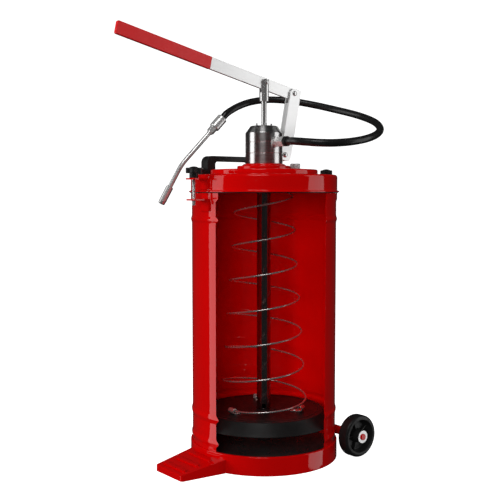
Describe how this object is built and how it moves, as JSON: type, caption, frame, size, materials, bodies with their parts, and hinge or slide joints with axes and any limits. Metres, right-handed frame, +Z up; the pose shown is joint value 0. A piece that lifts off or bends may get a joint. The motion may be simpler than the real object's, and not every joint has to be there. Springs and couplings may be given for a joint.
{
  "type": "hand lever lubricant pump",
  "caption": "Hand-lever bucket pump for gear oil or grease: wheeled red drum with a cut-away window, spring-loaded follower, clamped lid, lever-worked piston pump, hose and nozzle.",
  "frame": {"origin": "on the drum's axis at floor level, on the base pan's underside", "axes": "+Z up along the drum and pump axis; -X towards the foot pedal and lever grip, +X towards the wheels; -Y towards the drum's window and the hose outlet"},
  "size_m": [0.5055, 0.3419, 0.7207],
  "materials": {
    "red_paint": "gloss",
    "black_enamel": "satin",
    "black_moulding": "satin",
    "black_rubber": "satin",
    "hose_rubber": "gloss",
    "grip_plastic": "satin",
    "white_steel": "satin",
    "turned_steel": "brushed",
    "bright_steel": "polished",
    "dark_chrome": "polished",
    "spring_steel": "drawn",
    "zinc": "plated",
    "bronze": "machined",
    "nylon": "plain"
  },
  "bodies": {
    "container": {"drum_shell": "red_paint", "base_pan": "red_paint", "drum_floor": "black_enamel", "foot_pedal": "red_paint", "pedal_treads": "red_paint", "bracket_lower_front": "red_paint", "bracket_lower_rear": "red_paint", "axle_stubs": "red_paint", "axle_washers": "zinc"},
    "wheel_left": {"wheel_left": "black_moulding", "wheel_bush_left": "nylon"},
    "wheel_right": {"wheel_right": "black_moulding", "wheel_bush_right": "nylon"},
    "lid": {"lid_cover": "red_paint", "lid_gasket": "black_rubber", "pump_flange": "red_paint", "bracket_upper_front": "red_paint", "bracket_upper_rear": "red_paint", "carry_handle": "black_moulding", "handle_screws": "zinc", "pump_head": "turned_steel", "head_locknut": "zinc", "head_gland": "bronze", "gland_screws": "zinc", "rod_packing": "black_rubber", "throat_bush": "bronze", "suction_tube": "dark_chrome", "foot_plug": "dark_chrome", "spring_seat": "zinc", "spring": "spring_steel", "link_lug": "white_steel", "link_foot_pin": "bright_steel", "outlet_fitting": "turned_steel", "hose_sleeve": "black_rubber", "hose": "hose_rubber", "nozzle_ferrule": "turned_steel", "nozzle_nut": "turned_steel", "nozzle_tube": "bright_steel", "nozzle_coupler": "turned_steel", "coupler_jaws": "bright_steel"},
    "filler_cap": {"filler_cap": "turned_steel"},
    "clamp_front": {"knob_front": "black_moulding", "stud_front": "zinc"},
    "clamp_rear": {"knob_rear": "black_moulding", "stud_rear": "zinc"},
    "follower": {"follower_plate": "black_rubber", "follower_disc": "zinc", "follower_wiper": "black_rubber", "spring_clips": "spring_steel", "clip_rivets": "zinc"},
    "rod": {"pump_rod": "bright_steel", "clevis": "bright_steel", "lever_pin": "bright_steel", "piston": "bronze", "piston_seal": "black_rubber"},
    "check_ball": {"check_ball": "bright_steel"},
    "lever": {"lever_bar": "white_steel", "lever_grip": "grip_plastic"},
    "link": {"link_channel": "white_steel", "link_top_pin": "bright_steel"}
  },
  "joints": [
    {"name": "lid_lift", "type": "slide", "parent": "container", "child": "lid", "axis": [0, 0, 1], "range_m": [0, 0.46]},
    {"name": "follower_rise", "type": "slide", "parent": "lid", "child": "follower", "axis": [0, 0, 1], "range_m": [0, 0.3], "deforming": ["spring"]},
    {"name": "rod_stroke", "type": "slide", "parent": "lid", "child": "rod", "axis": [0, 0, 1], "range_m": [-0.03, 0.004]},
    {"name": "ball_lift", "type": "slide", "parent": "rod", "child": "check_ball", "axis": [0, 0, 1], "range_m": [0, 0.0015]},
    {"name": "lever_swing", "type": "hinge", "parent": "rod", "child": "lever", "pos_m": [0, 0, 0.6496], "axis": [0, 1, 0], "range_deg": [-25.8, 3.6]},
    {"name": "link_swing", "type": "hinge", "parent": "lid", "child": "link", "pos_m": [0.043, 0, 0.5266], "axis": [0, 1, 0], "range_deg": [-0.3, 0.9]},
    {"name": "clamp_front_turn", "type": "hinge", "parent": "lid", "child": "clamp_front", "pos_m": [-0.148, 0, 0.49], "axis": [0, 0, 1], "continuous": true},
    {"name": "clamp_rear_turn", "type": "hinge", "parent": "lid", "child": "clamp_rear", "pos_m": [0.148, 0, 0.49], "axis": [0, 0, 1], "continuous": true},
    {"name": "filler_cap_turn", "type": "hinge", "parent": "lid", "child": "filler_cap", "pos_m": [0.072, 0, 0.505], "axis": [0, 0, 1], "continuous": true},
    {"name": "wheel_left_spin", "type": "hinge", "parent": "container", "child": "wheel_left", "pos_m": [0.118, 0.1127, 0.037], "axis": [0, 1, 0], "continuous": true},
    {"name": "wheel_right_spin", "type": "hinge", "parent": "container", "child": "wheel_right", "pos_m": [0.118, -0.1127, 0.037], "axis": [0, 1, 0], "continuous": true}
  ],
  "couplings": [
    {"joint": "lever_swing", "follows": "rod_stroke", "rad_per_m": 14.9},
    {"joint": "link_swing", "follows": "rod_stroke", "rad_per_m": -0.4}
  ]
}
